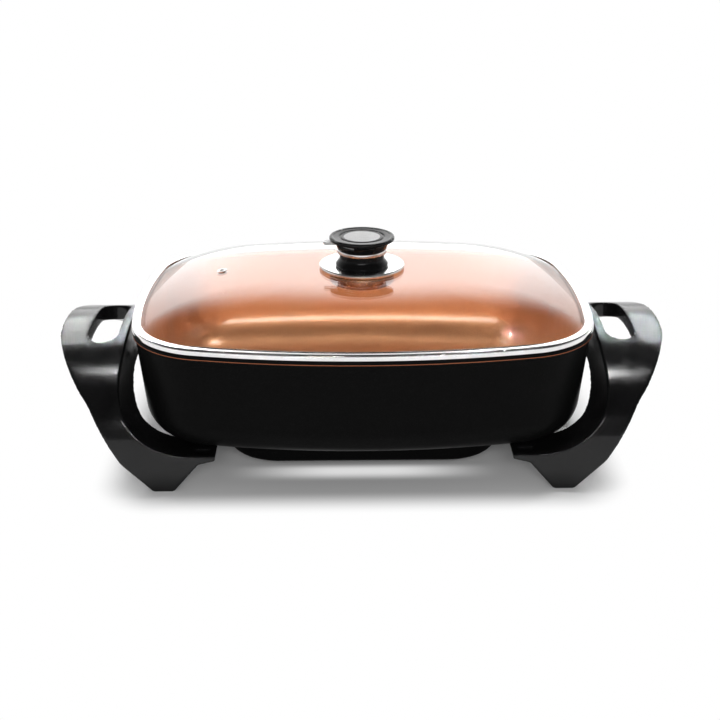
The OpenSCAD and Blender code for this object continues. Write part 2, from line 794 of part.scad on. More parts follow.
// Bright dish with a level foot, a floor that rises to its edge, and a skirt down to the glass
module knob_dish() {
    hole = knob_screw_d / 2 + screw_gap;
    foot = dish_foot_d / 2;
    rim = dish_d / 2;
    lean = atan(dish_rise / (rim - foot));
    inner_z = base_z + dish_rise - dish_t * (tan(lean) + 1 / cos(lean));
    low = glass_top_z + dish_gap;
    color(steel) rotate_extrude($fn = round_fn)
        polygon(rounded([[hole, base_z, 0], [foot, base_z, dish_bend_r],
                         [rim, base_z + dish_rise, dish_edge_r],
                         [rim, low, 0], [rim - dish_t, low, 0],
                         [rim - dish_t, inner_z, dish_edge_r - dish_t],
                         [foot, dish_z, dish_bend_r], [hole, dish_z, 0]], 3));
}

// Foot of the knob: a spread edge on the dish, then a narrower neck up to the ring
module knob_base() {
    waist_r = waist_d / 2;
    bore = insert_d / 2 + fit_gap;
    foot = waist_r + base_foot_out;
    neck = waist_r - base_neck_in;
    color(bakelite) rotate_extrude($fn = round_fn)
        polygon(rounded([[bore, base_z, 0], [foot - 0.6, base_z, 0.3],
                         [foot, base_z + base_foot_h, base_foot_h / 2],
                         [neck, base_z + base_neck_h, 5], [neck, ring_z, 0], [bore, ring_z, 0]], 3));
}

module knob_ring() {
    waist_r = waist_d / 2;
    bore = insert_d / 2 + fit_gap;
    color(steel) rotate_extrude($fn = round_fn)
        polygon([[bore, ring_z], [waist_r - ring_edge, ring_z], [waist_r, ring_z + ring_edge],
                 [waist_r, grip_z - ring_edge], [waist_r - ring_edge, grip_z], [bore, grip_z]]);
}

// Radius of the knob's leaning side, which runs on from the grip to the cap
function side_r(z) = cap_d / 2 - cap_lean * max(0, knob_top_z - cap_side_h - z);

// Waist of the knob, and the post that the steam lever turns on
module knob_grip() {
    waist_r = waist_d / 2;
    bore = insert_d / 2 + fit_gap;
    shoulder_top = lever_z - lever_gap;
    color(bakelite) rotate_extrude($fn = round_fn)
        polygon([[bore, grip_z], [waist_r - grip_edge, grip_z], [waist_r, grip_z + grip_edge],
                 [waist_r + grip_flare, grip_z + grip_neck_h], [side_r(shoulder_top), shoulder_top],
                 [post_d / 2, shoulder_top], [post_d / 2, cap_z], [bore, cap_z]]);
}

// Cap that covers the steam lever's ring, with a slot in its side for the lever's tab
module knob_cap() {
    rim = cap_d / 2;
    groove = groove_d / 2;
    land_z = knob_top_z - cap_dip;
    seat = inlay_d / 2 + fit_gap;
    low = lever_z - lever_gap + fit_gap;
    room = lever_ring_d / 2 + lever_room;
    color(bakelite) difference() {
        rotate_extrude($fn = round_fn)
            polygon([[0, cap_z], [room, cap_z], [room, low], [side_r(low), low],
                     [rim, knob_top_z - cap_side_h], [rim, knob_top_z - 3 * cap_edge],
                     [rim - cap_edge, knob_top_z - cap_edge], [rim - 2 * cap_edge, knob_top_z],
                     [groove + groove_w / 2, land_z], [groove + groove_w / 2, land_z - groove_w / 2],
                     [groove - groove_w / 2, land_z - groove_w / 2], [groove - groove_w / 2, land_z],
                     [seat, land_z], [seat, land_z - inlay_h], [0, land_z - inlay_h]]);
        translate([0, 0, low - 1]) linear_extrude(cap_z - low + 1) lever_slot();
    }
}

// Plan of the room that the lever's tab sweeps in the cap's side
module lever_slot() {
    reach = 2 * cap_d;
    half = lever_tab_w / 2 + lever_room;
    intersection() {
        difference() {
            circle(d = 1.2 * cap_d, $fn = round_fn);
            circle(d = lever_ring_d, $fn = round_fn);
        }
        union() {
            polygon([[0, 0], [-reach, 0], reach * [-cos(lever_turn / 2), -sin(lever_turn / 2)],
                     reach * [-cos(lever_turn), -sin(lever_turn)]]);
            for (a = [0, lever_turn]) rotate(a) translate([-reach, -half]) square([reach, 2 * half]);
        }
    }
}

module knob_inlay() {
    r = inlay_d / 2;
    top = knob_top_z - cap_dip;
    color("gray") rotate_extrude($fn = round_fn)
        polygon([[0, top - inlay_h], [r, top - inlay_h], [r, top - inlay_edge], [r - inlay_edge, top],
                 [0, top]]);
}

module knob_insert() {
    color("gold") translate([0, 0, base_z])
        ring(insert_d, knob_screw_d, cap_z - 1 - base_z);
}

module knob_screw() {
    low = under_z - under_plate_t;
    color(steel) translate([0, 0, low]) difference() {
        screw(knob_screw_d - 2 * fit_gap, cap_z - 2 - low, knob_head_d, knob_head_h);
        cross_recess(0.55 * knob_head_d, 2, -knob_head_h - 0.1);
    }
}

// Ring on the knob's post with a tab that shuts or opens the steam way
module steam_lever() {
    color("dimgray") translate([0, 0, lever_z]) difference() {
        union() {
            cylinder(d = lever_ring_d, h = lever_h, $fn = round_fn);
            translate([-lever_tab_l + lever_tab_w / 2, -lever_tab_w / 2, 0])
                cube([lever_tab_l - lever_tab_w / 2 - post_d / 2, lever_tab_w, lever_h]);
            translate([-lever_tab_l + lever_tab_w / 2, 0, 0])
                cylinder(d = lever_tab_w, h = lever_h, $fn = 48);
        }
        translate([0, 0, -1]) cylinder(d = post_d + 2 * lever_fit, h = lever_h + 2, $fn = round_fn);
    }
}

pan_body();
interior_coating();
heater_casting();
heating_element();
terminal_pins();
terminal_insulators();
sensor_sleeve();
inlet_guard();
guard_screws();
handle_left();
handle_right();
handle_screws();
handle_washers();
lid_glass();
lid_band();
vent_eyelet();
under_plate();
under_gasket();
knob_dish();
dish_gasket();
knob_base();
knob_ring();
knob_grip();
knob_cap();
knob_inlay();
knob_insert();
knob_screw();
steam_lever();
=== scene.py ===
"""Looks of the electric skillet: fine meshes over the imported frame, finishes, studio and camera."""

import math

import bmesh
import bpy
from bpy.props import FloatProperty, FloatVectorProperty, IntProperty, PointerProperty
from mathutils import Matrix, Vector


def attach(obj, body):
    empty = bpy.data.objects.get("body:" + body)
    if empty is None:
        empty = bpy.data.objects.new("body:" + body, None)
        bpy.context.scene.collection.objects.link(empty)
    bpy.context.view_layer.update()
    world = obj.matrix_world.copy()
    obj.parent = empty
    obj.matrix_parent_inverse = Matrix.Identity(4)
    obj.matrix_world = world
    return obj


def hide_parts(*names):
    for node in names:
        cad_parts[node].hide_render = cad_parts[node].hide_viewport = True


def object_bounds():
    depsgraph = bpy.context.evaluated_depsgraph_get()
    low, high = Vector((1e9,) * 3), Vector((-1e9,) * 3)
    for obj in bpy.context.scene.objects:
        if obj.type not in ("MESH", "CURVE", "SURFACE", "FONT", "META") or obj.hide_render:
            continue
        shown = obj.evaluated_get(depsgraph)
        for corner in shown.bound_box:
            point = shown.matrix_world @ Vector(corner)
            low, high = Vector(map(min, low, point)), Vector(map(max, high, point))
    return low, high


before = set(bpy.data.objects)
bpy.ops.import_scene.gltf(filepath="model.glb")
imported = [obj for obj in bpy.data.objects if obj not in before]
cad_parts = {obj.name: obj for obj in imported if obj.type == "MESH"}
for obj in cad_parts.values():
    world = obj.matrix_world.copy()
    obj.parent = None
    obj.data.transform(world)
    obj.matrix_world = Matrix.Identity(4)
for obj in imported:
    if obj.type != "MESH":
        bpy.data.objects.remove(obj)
cad_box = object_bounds()

bl_info = {
    "name": "Electric Skillet Looks",
    "version": (1, 0, 0),
    "blender": (4, 5, 0),
    "location": "3D View > Sidebar > Skillet",
    "description": "Builds the fine meshes, finishes, studio and camera of the electric skillet",
    "category": "Object",
}

MM = 0.001
X, Y, Z = range(3)
WHITE = (1, 1, 1)


# ---- Settings ----


def size_prop(name, description, default, low, high):
    """A length in millimetres that a user can change."""
    return FloatProperty(name=name, description=description + ", mm", default=default, min=low,
                         max=high)


def colour_prop(name, description, default):
    """A base colour in linear values."""
    return FloatVectorProperty(name=name, description=description, default=default,
                               subtype="COLOR", size=3, min=0, max=1)


def share_prop(name, description, default):
    """A share from 0 to 1, such as roughness."""
    return FloatProperty(name=name, description=description, default=default, min=0, max=1,
                         subtype="FACTOR")


def angle_prop(name, description, degrees):
    """An angle, given in degrees."""
    return FloatProperty(name=name, description=description, default=math.radians(degrees),
                         subtype="ANGLE")


def count_prop(name, description, default, low, high):
    """A number of mesh steps or smoothing rounds."""
    return IntProperty(name=name, description=description, default=default, min=low, max=high)


def metre_prop(name, description, default):
    """A length in metres."""
    return FloatProperty(name=name, description=description, default=default, unit="LENGTH")


def level_prop(name, description, default):
    """A lamp's radiance or another plain level."""
    return FloatProperty(name=name, description=description, default=default, min=0)


class RimSizes(bpy.types.PropertyGroup):
    """Plan of the rim that the pan and the lid share."""

    half_length: size_prop("Half length", "Half length of the lid's rim", 204, 196, 212)
    half_width: size_prop("Half width", "Half width of the lid's rim", 152, 146, 158)
    corner_r: size_prop("Corner radius", "Radius of the rim's corners", 74, 70, 80)
    long_bow_r: size_prop("Long bow", "Bow radius of the long sides", 682, 620, 760)
    short_bow_r: size_prop("Short bow", "Bow radius of the short sides", 556, 500, 640)
    side_steps: count_prop("Side steps", "Mesh steps along each side", 30, 8, 80)
    corner_steps: count_prop("Corner steps", "Mesh steps round each corner", 30, 8, 80)


class PanSizes(bpy.types.PropertyGroup):
    """Sections of the pan, its coating and the heater ring under it."""

    rim_z: size_prop("Rim height", "Height of the pan's rim above the table", 130.2, 124, 136)
    bottom_z: size_prop("Underside height", "Height of the underside", 34.5, 33, 37)
    inset: size_prop("Inset", "How far the wall stands inside the lid's rim", 2, 1, 3)
    wall: size_prop("Wall", "Thickness of the wall", 3.2, 2.4, 4)
    floor: size_prop("Floor", "Thickness of the floor", 6, 5, 7)
    draft: angle_prop("Draft", "Lean of the wall", 6)
    bottom_r: size_prop("Inner bend", "Radius that the inside's bend follows", 45, 38, 50)
    outer_r: size_prop("Outer bend", "Radius between wall and underside", 33, 32, 45)
    bead_h: size_prop("Bead height", "Height of the bead round the rim", 4, 3, 6)
    bead_out: size_prop("Bead reach", "How far the bead stands out", 1.4, 1, 1.8)
    coating: size_prop("Coating", "Thickness of the coating", 0.6, 0.4, 1)
    heater_x: size_prop("Heater length", "Half length of the heater ring", 121, 116, 126)
    heater_y: size_prop("Heater width", "Half width of the heater ring", 95, 90, 100)
    heater_r: size_prop("Heater corner", "Radius of the heater ring's corners", 48, 44, 52)
    heater_z: size_prop("Heater height", "Height of the heater ring's underside", 12, 11, 14)


class LidSizes(bpy.types.PropertyGroup):
    """Sections of the glass and its steel band."""

    seat_z: size_prop("Seat height", "Height at which the band rests", 130.5, 124, 137)
    band_h: size_prop("Band height", "Height of the band", 6, 5.6, 7)
    band_lip: size_prop("Band lip", "Width of the band's lips", 8, 6, 10)
    band_t: size_prop("Band sheet", "Thickness of the band's steel", 0.8, 0.6, 1)
    skirt_h: size_prop("Skirt", "Depth of the skirt inside the pan", 4, 3, 6)
    glass_t: size_prop("Glass", "Thickness of the glass", 4, 3, 4.2)
    dome_rise: size_prop("Dome rise", "Rise of the dome above its edge", 26, 24, 30)
    dome_flat: share_prop("Level share", "Share of the dome's plan that is level", 0.2)
    dome_power: level_prop("Shoulder", "Squareness of the dome's shoulder", 3.5)
    dome_steps: count_prop("Dome steps", "Mesh steps up the dome", 44, 8, 120)
    vent_x: size_prop("Vent distance", "Distance from the centre to the vent", 127.5, 120, 128)


class KnobSizes(bpy.types.PropertyGroup):
    """Turned parts on the middle of the lid."""

    cap_d: size_prop("Cap", "Diameter of the cap", 59, 56, 62)
    waist_d: size_prop("Waist", "Diameter of the waist", 45, 43, 47)
    dish_d: size_prop("Dish", "Diameter of the bright dish", 77.5, 72, 82)
    knob_h: size_prop("Height", "Height from the glass to the top", 29.5, 28, 33)
    lever_w: size_prop("Lever slot", "Width of the steam lever's slot", 9.6, 9, 11)
    lever_turn: angle_prop("Lever turn", "Range of the steam lever", 60)


class HandleSizes(bpy.types.PropertyGroup):
    """Moulded handles that are also the legs."""

    leg_inset: size_prop("Leg inset", "How far the legs stand inside the rim", 28, 26, 31)
    shoulder_z: size_prop("Shoulder height", "Height at which the legs bend", 36, 32, 42)
    shoulder_r: size_prop("Shoulder radius", "Radius of the shoulders", 60, 50, 66)
    shoulder_turn: angle_prop("Shoulder turn", "Turn before the flatter crown", 58)
    skin: size_prop("Skin", "Thickness of the moulded skin", 5, 4, 6)
    flange: size_prop("Flange", "Thickness of the flanges", 3.5, 3, 4)
    flange_depth: size_prop("Flange depth", "Depth of the flange facing the pan", 37, 34, 40)
    lip_depth: size_prop("Lip depth", "Depth of the outer lip", 14, 10, 16)
    flange_r: size_prop("Flange bend", "Radius where the flange turns under", 60, 56, 64)
    shelf_gap: size_prop("Shelf gap", "Gap between the pan and the shelves", 1.5, 1, 2)
    tongue: size_prop("Shelf reach", "How far the shelves reach in from the rim", 77, 72, 82)
    slot_w: size_prop("Slot width", "Width of the hand slot", 27, 24, 30)
    slot_l: size_prop("Slot length", "Length of the hand slot", 94, 84, 100)
    voxel: size_prop("Grain of the mesh", "Edge length of the fine mesh", 0.95, 0.6, 2)
    soften: count_prop("Softening", "Smoothing rounds on the moulded edges", 7, 0, 30)


class Finishes(bpy.types.PropertyGroup):
    """Base colours and roughness of the finishes."""

    pan: colour_prop("Pan", "Colour of the pan's outside", (0.0025, 0.0025, 0.0025))
    line: colour_prop("Rim line", "Colour of the fine line under the rim", (0.30, 0.10, 0.05))
    copper: colour_prop("Copper coating", "Colour of the cooking surface", (0.46, 0.200, 0.082))
    copper_rough: share_prop("Coating roughness", "Roughness of the cooking surface", 0.34)
    moulding: colour_prop("Moulding", "Colour of handles and knob", (0.005, 0.005, 0.0052))
    handle_rough: share_prop("Handle roughness", "Roughness of the handles", 0.12)
    knob_rough: share_prop("Knob roughness", "Roughness of the knob", 0.18)
    steel: colour_prop("Bright steel", "Colour of the polished steel", (0.80, 0.80, 0.80))
    inlay: colour_prop("Inlay", "Colour of the knob's inlay", (0.30, 0.30, 0.30))
    lever: colour_prop("Lever", "Colour of the steam lever", (0.5, 0.5, 0.5))


class StudioSettings(bpy.types.PropertyGroup):
    """Camera and lamps."""

    lens: level_prop("Lens", "Focal length of the camera, mm", 59.08)
    distance: metre_prop("Distance", "Distance from the camera to what it aims at", 1.0864)
    elevation: angle_prop("Elevation", "Camera's elevation", 19.37)
    azimuth: angle_prop("Azimuth", "Camera's turn to the right", -1.0)
    aim_z: metre_prop("Aim height", "Height aimed at", 0.1366)
    strips: level_prop("Top strips", "Radiance of the top strips", 54)
    boxes: level_prop("Rear boxes", "Radiance of the rear boxes", 4.6)
    backdrop: level_prop("Backdrop", "Radiance of the backdrop", 1.25)
    keys: level_prop("Front lamps", "Radiance of the front lamps", 12)
    ambient: level_prop("Ambient", "Level of the soft light", 0.27)


def settings(name):
    """One group of the scene's settings."""
    return getattr(bpy.context.scene, "skillet_" + name)


# ---- Meshes ----


def shaded(obj, smooth_angle=35):
    """Smooth shading except across sharp edges."""
    obj.data.shade_smooth()
    obj.data.set_sharp_from_angle(angle=math.radians(smooth_angle))
    return obj


def mesh_object(name, verts, faces, smooth_angle=35):
    """A new object from points in millimetres, smooth except across sharp edges."""
    mesh = bpy.data.meshes.new(name)
    mesh.from_pydata([(x * MM, y * MM, z * MM) for x, y, z in verts], [], faces)
    mesh.validate()
    outward = bmesh.new()
    outward.from_mesh(mesh)
    bmesh.ops.recalc_face_normals(outward, faces=outward.faces)
    outward.to_mesh(mesh)
    outward.free()
    obj = bpy.data.objects.new(name, mesh)
    bpy.context.scene.collection.objects.link(obj)
    return shaded(obj, smooth_angle)


def arc(x, z, r, start, end, steps):
    """Points along an arc from one angle to another, in degrees."""
    angles = [math.radians(start + (end - start) * i / steps) for i in range(steps + 1)]
    return [(x + r * math.cos(a), z + r * math.sin(a)) for a in angles]


def rounded(corners, steps=6):
    """A closed outline from corners given as (x, z, radius)."""
    points = []
    for i, (x, z, r) in enumerate(corners):
        here = Vector((x, z))
        to_last = (Vector(corners[i - 1][:2]) - here).normalized()
        to_next = (Vector(corners[(i + 1) % len(corners)][:2]) - here).normalized()
        half = to_last.angle(to_next) / 2
        if r <= 0 or half > math.radians(89.5):
            points.append((x, z))
            continue
        centre = here + (to_last + to_next).normalized() * (r / math.sin(half))
        first = here + to_last * (r / math.tan(half)) - centre
        last = here + to_next * (r / math.tan(half)) - centre
        start = math.degrees(math.atan2(first.y, first.x))
        turn = math.degrees(math.atan2(first.x * last.y - first.y * last.x, first.dot(last)))
        points += arc(centre.x, centre.y, r, start, start + turn, steps)
    return points


def meet(p, a, q, b):
    """Where a circle about p with radius a meets one about q with radius b."""
    d = (q - p).length
    u = (q - p) / d
    along = (a * a - b * b + d * d) / (2 * d)
    return p + u * along + Vector((-u.y, u.x)) * math.sqrt(a * a - along * along)


def rim_plan():
    """Points of the rim as (arc's centre x, centre y, radius, angle)."""
    rim = settings("rim")
    long_y = rim.long_bow_r - rim.half_width
    short_x = rim.short_bow_r - rim.half_length
    corner = meet(Vector((0, long_y)), rim.long_bow_r - rim.corner_r,
                  Vector((-short_x, 0)), rim.short_bow_r - rim.corner_r)
    a = math.asin(corner.x / (rim.long_bow_r - rim.corner_r))
    b = math.asin(-corner.y / (rim.short_bow_r - rim.corner_r))
    x, y, right = corner.x, -corner.y, math.pi / 2
    half = ((-short_x, 0, rim.short_bow_r, -b, b, rim.side_steps),
            (x, y, rim.corner_r, b, right - a, rim.corner_steps),
            (0, -long_y, rim.long_bow_r, right - a, right + a, rim.side_steps),
            (-x, y, rim.corner_r, right + a, math.pi - b, rim.corner_steps))
    return [(sign * cx, sign * cy, r, turn + start + (end - start) * i / steps)
            for sign, turn in ((1, 0), (-1, math.pi))
            for cx, cy, r, start, end, steps in half for i in range(steps)]


def rim_ring(out, z, scale=1):
    """The rim's plan moved out by a distance, at a height, and shrunk about the centre."""
    return [((cx + (r + out) * math.cos(a)) * scale, (cy + (r + out) * math.sin(a)) * scale, z)
            for cx, cy, r, a in rim_plan()]


def box_ring(half_x, half_y, corner_r, out, z):
    """A rounded rectangle moved out by a distance, at a height."""
    ring = []
    for i, (sx, sy) in enumerate(((1, 1), (-1, 1), (-1, -1), (1, -1))):
        ring += [(x, y, z) for x, y in arc(sx * (half_x - corner_r), sy * (half_y - corner_r),
                                           corner_r + out, 90 * i, 90 * i + 90, 24)]
    return ring


def skin_rings(rings, closed):
    """Faces between rings of equal length, closed into a loop or capped at both ends."""
    n = len(rings[0])
    verts = [v for ring in rings for v in ring]
    faces = []
    for j in range(len(rings) if closed else len(rings) - 1):
        a, b = j * n, (j + 1) % len(rings) * n
        faces += [(a + k, a + (k + 1) % n, b + (k + 1) % n, b + k) for k in range(n)]
    if not closed:
        faces += [tuple(range(n)), tuple((len(rings) - 1) * n + k for k in range(n))]
    return verts, faces


def rim_loft(name, section, closed=False, smooth_angle=35):
    """Lofts a section of (distance out, height) points all round the rim."""
    rings = [rim_ring(*point) for point in section]
    return mesh_object(name, *skin_rings(rings, closed), smooth_angle)


def turned(name, section, steps=160, smooth_angle=35):
    """Turns a closed section of (radius, height) points about the Z axis."""
    turns = [2 * math.pi * k / steps for k in range(steps)]
    verts, faces, rows = [], [], []
    for r, z in section:
        row = [(r * math.cos(t), r * math.sin(t), z) for t in turns] if r > 1e-6 else [(0, 0, z)]
        rows.append(range(len(verts), len(verts) + len(row)))
        verts += row
    for a, b in zip(rows, rows[1:] + rows[:1]):
        for k in range(steps):
            face = (a[k % len(a)], a[(k + 1) % len(a)], b[(k + 1) % len(b)], b[k % len(b)])
            face = tuple(dict.fromkeys(face))
            if len(face) > 2:
                faces.append(face)
    return mesh_object(name, verts, faces, smooth_angle)


def plug(name, r, low, high, steps=160):
    """A plain cylinder about the Z axis."""
    return turned(name, [(0, low), (r, low), (r, high), (0, high)], steps)


def bar(name, axis, outline, low, high):
    """A bar along an axis from an outline in the two other coordinates."""
    rings = [[(*point[:axis], end, *point[axis:]) for point in outline] for end in (low, high)]
    return mesh_object(name, *skin_rings(rings, False))


def block(name, low, high):
    """A box between two corners."""
    (x0, y0, z0), (x1, y1, z1) = low, high
    return bar(name, Z, [(x0, y0), (x1, y0), (x1, y1), (x0, y1)], z0, z1)


def settled(obj):
    """Applies an object's modifiers to its mesh."""
    bpy.context.view_layer.update()
    shape = obj.evaluated_get(bpy.context.evaluated_depsgraph_get())
    mesh = bpy.data.meshes.new_from_object(shape)
    old = obj.data
    obj.modifiers.clear()
    obj.data = mesh
    bpy.data.meshes.remove(old)
    mesh.name = obj.name


def combined(obj, operation, *tools):
    """Unites an object with tools, cuts them from it, or keeps what it shares with them."""
    for tool in tools:
        step = obj.modifiers.new("join", "BOOLEAN")
        step.operation, step.object, step.solver = operation, tool, "EXACT"
    settled(obj)
    for tool in tools:
        mesh = tool.data
        bpy.data.objects.remove(tool)
        bpy.data.meshes.remove(mesh)
    return obj


def drawn_in(corners, d):
    """An outline's corners (x, z, radius) moved in by a distance, with their radii to suit."""
    area = sum(last[0] * here[1] - here[0] * last[1]
               for last, here in zip(corners[-1:] + corners, corners))
    side = 1 if area > 0 else -1
    result = []
    for i, (x, z, r) in enumerate(corners):
        here = Vector((x, z))
        into = (here - Vector(corners[i - 1][:2])).normalized()
        away = (Vector(corners[(i + 1) % len(corners)][:2]) - here).normalized()
        n1, n2 = Vector((-into.y, into.x)) * side, Vector((-away.y, away.x)) * side
        shift = (n1 + n2) / (1 + n1.dot(n2))
        bulges = (into.x * away.y - into.y * away.x) * side > 0
        radius = 0 if r <= 0 else max(r - d, 0) if bulges else r + d
        result.append((here.x + shift.x * d, here.y + shift.y * d, radius))
    return result


def dress(obj, body, slot, material, *nodes):
    """Gives a new piece its finish, its body and the frame nodes it stands for; the slot is not used.
    """
    obj.data.materials.clear()
    obj.data.materials.append(material)
    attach(obj, body)
    if nodes:
        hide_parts(*nodes)


def paint(node, material):
    """Gives a frame node its finish."""
    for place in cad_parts[node].material_slots:
        place.material = material


# ---- Shader nodes ----


class Graph:
    """A node tree under construction."""

    def __init__(self, owner):
        owner.use_nodes = True
        self.tree = owner.node_tree
        self.tree.nodes.clear()

    def feed(self, socket, value):
        """Links an output to an input, or sets the input's own value."""
        if isinstance(value, bpy.types.NodeSocket):
            self.tree.links.new(value, socket)
        else:
            socket.default_value = (*value, 1) if socket.type == "RGBA" else value

    def node(self, kind, feeds=(), **traits):
        """A new node with its traits; feeds are (input, output or value)."""
        node = self.tree.nodes.new("ShaderNode" + kind)
        for name, value in traits.items():
            setattr(node, name, value)
        for name, value in feeds:
            self.feed(node.inputs[name], value)
        return node

    def math(self, operation, a, b=0):
        return self.node("Math", ((0, a), (1, b)), operation=operation).outputs[0]

    def vector(self, operation, a, b=(0, 0, 0)):
        node = self.node("VectorMath", ((0, a), (1, b)), operation=operation)
        return node.outputs["Value" if operation == "LENGTH" else "Vector"]

    def split(self, vector):
        """The three coordinates of a vector."""
        return self.node("SeparateXYZ", ((0, vector),)).outputs

    def ramp(self, value, start, end, low, high, curve="SMOOTHSTEP"):
        """Maps start to end onto low to high, and stays level beyond."""
        return self.node("MapRange", (
            ("Value", value), ("From Min", start), ("From Max", end), ("To Min", low),
            ("To Max", high)), interpolation_type=curve).outputs["Result"]

    def either(self, share, a, b):
        """One shader where the share is 0, another where it is 1."""
        return self.node("MixShader", ((0, share), (1, a), (2, b))).outputs[0]

    def shader(self, kind, *feeds):
        return self.node(kind, feeds).outputs[0]

    def end(self, kind, shader):
        """Ends the tree in a shader."""
        self.node("Output" + kind, (("Surface", shader),))


def shade(colour, factor):
    """A colour made darker or lighter."""
    return tuple(min(1.0, c * factor) for c in colour)


class Finish(Graph):
    """A material under construction: a Principled shader and the nodes that feed it."""

    def __init__(self, name, **values):
        self.material = bpy.data.materials.new(name)
        super().__init__(self.material)
        self.place = self.node("TexCoord").outputs["Object"]
        feeds = [(socket.replace("_", " "), value) for socket, value in values.items()]
        self.surface = self.node("BsdfPrincipled", feeds)

    def noise(self, scale, detail=4, rough=0.55):
        return self.node("TexNoise", (
            ("Vector", self.place), ("Scale", scale), ("Detail", detail),
            ("Roughness", rough))).outputs["Fac"]

    def drift(self, value, low=0, high=1, start=0.3, end=0.7):
        """Maps a texture's middle range onto low to high."""
        return self.ramp(value, start, end, low, high, "LINEAR")

    def shades(self, value, colour, stops):
        """A ramp through a colour's shades, from (position, factor) stops."""
        node = self.node("ValToRGB", (("Fac", value),))
        elements = node.color_ramp.elements
        while len(elements) < len(stops):
            elements.new(0.5)
        for element, (position, factor) in zip(elements, stops):
            element.position = position
            element.color = (*shade(colour, factor), 1)
        return node.outputs["Color"]

    def mixed(self, value, a, b):
        """Two colours mixed by a value."""
        node = self.node("Mix", (("Factor", value),), data_type="RGBA")
        for name, colour in (("A", a), ("B", b)):
            self.feed([s for s in node.inputs if s.name == name and s.type == "RGBA"][0], colour)
        return [s for s in node.outputs if s.type == "RGBA"][0]

    def finished(self, base, stains, rough, grain, relief, shadow=None):
        """Feeds the shader and ends the tree; shadow rays meet the shadow shader, if given."""
        strength, depth = relief
        bump = self.node("Bump", (("Strength", strength), ("Distance", depth * MM),
                                  ("Height", self.noise(*grain))))
        for name, value in (("Base Color", base), ("Normal", bump.outputs[0]),
                            ("Roughness", self.drift(self.noise(*stains), *rough))):
            self.feed(self.surface.inputs[name], value)
        shader = self.surface.outputs[0]
        if shadow:
            cast = self.node("LightPath").outputs["Is Shadow Ray"]
            shader = self.either(cast, shader, shadow)
        self.end("Material", shader)
        return self.material


# ---- Finishes ----


def satin_black(name, colour, line=None):
    """Sprayed black coating with a fine speckle, and a fine line under the rim."""
    f = Finish(name, Specular_IOR_Level=0.03)
    speck = f.noise(1400, 3, 0.7)
    base = f.shades(speck, colour, ((0.0, 0.4), (0.52, 1.0), (0.66, 3.0), (0.80, 9.0)))
    if line:
        low, high, tone = line
        height = f.split(f.place)[Z]
        inside = f.math("MULTIPLY", f.math("GREATER_THAN", height, low * MM),
                        f.math("LESS_THAN", height, high * MM))
        base = f.mixed(inside, base, tone)
    return f.finished(base, stains=(28, 3), rough=(0.34, 0.46), grain=(900, 3, 0.6),
                      relief=(0.25, 0.05))


def copper_coating(name, colour, rough):
    """Ceramic coating full of fine copper flake."""
    f = Finish(name, Metallic=0.72, Coat_Weight=1.0, Coat_Roughness=0.2, Coat_IOR=1.8)
    tone = f.mixed(f.drift(f.noise(11)), shade(colour, 0.86), shade(colour, 1.08))
    flake = f.node("TexVoronoi", (("Scale", 1600), ("Vector", f.place))).outputs["Distance"]
    base = f.mixed(f.drift(flake, 0, 1, 0.1, 0.9), tone, shade(colour, 1.35))
    return f.finished(base, stains=(60,), rough=(rough - 0.05, rough + 0.06),
                      grain=(700, 3, 0.6), relief=(0.12, 0.03))


def mottled(name, colour, clouds, shades, values, **finish):
    """A finish whose colour drifts over clouds between two shades."""
    f = Finish(name, **values)
    base = f.mixed(f.drift(f.noise(*clouds)), *(shade(colour, factor) for factor in shades))
    return f.finished(base, **finish)


def black_moulding(name, colour, rough, gloss):
    """Glossy pressed phenolic with a faint orange peel and handling marks."""
    return mottled(name, colour, clouds=(40, 5), shades=(0.8, 1.5), stains=(90, 5, 0.7),
                   rough=(rough - 0.04, rough + 0.07), grain=(160, 3), relief=(0.12, 0.05),
                   values={"Specular_IOR_Level": gloss})


def bright_steel(name, colour, rough=(0.05, 0.13)):
    """Polished sheet with faint rolling marks."""
    return mottled(name, colour, clouds=(30,), shades=(0.95, 1.05), stains=(240, 5, 0.7),
                   rough=rough, grain=(420,), relief=(0.05, 0.02), values={"Metallic": 1.0})


def plated_steel(name, colour, rough, metallic=1.0):
    """Duller plated or oxidised metal with a stained surface."""
    return mottled(name, colour, clouds=(70, 6, 0.65), shades=(0.7, 1.15), stains=(300, 5, 0.7),
                   rough=rough, grain=(900,), relief=(0.15, 0.03), values={"Metallic": metallic})


def grained(name, colour, scale, depth, rough):
    """Moulded or cast surface with a fine raised grain."""
    grain = (scale, 3, 0.6)
    return mottled(name, colour, clouds=grain, shades=(0.78, 1.22), stains=(scale / 6,),
                   rough=(rough - 0.06, rough + 0.06), grain=grain, relief=(0.5, depth), values={})


def clear_glass(name):
    """Tempered glass, faintly green in its depth, that lets lamp light through to the pan."""
    f = Finish(name, Transmission_Weight=1.0, IOR=1.5)
    tint = f.mixed(f.drift(f.noise(6, 2)), (0.985, 0.995, 0.99), WHITE)
    clear = f.shader("BsdfTransparent", ("Color", (0.93, 0.95, 0.94)))
    return f.finished(tint, stains=(18, 3), rough=(0.0, 0.012), grain=(9, 2),
                      relief=(0.02, 0.05), shadow=clear)


# ---- Pieces ----


def wall_x(inset, z):
    """Distance out of the leaning wall at a height."""
    pan = settings("pan")
    return -inset - (pan.rim_z - z) * math.tan(pan.draft)


def basin(inset, low, r, top):
    """Section of a basin from the middle of its floor to the top of its wall."""
    pan = settings("pan")
    centre_x, centre_z = wall_x(inset, low + r) - r / math.cos(pan.draft), low + r
    middle = 2 - settings("rim").corner_r
    bend = arc(centre_x, centre_z, r, -90, -math.degrees(pan.draft), 16)
    return [(middle, low)] + bend + [(wall_x(inset, top), top)]


def inner_bend():
    """Radius between the wall and the floor inside the pan."""
    pan = settings("pan")
    return pan.bottom_r - pan.wall - 1


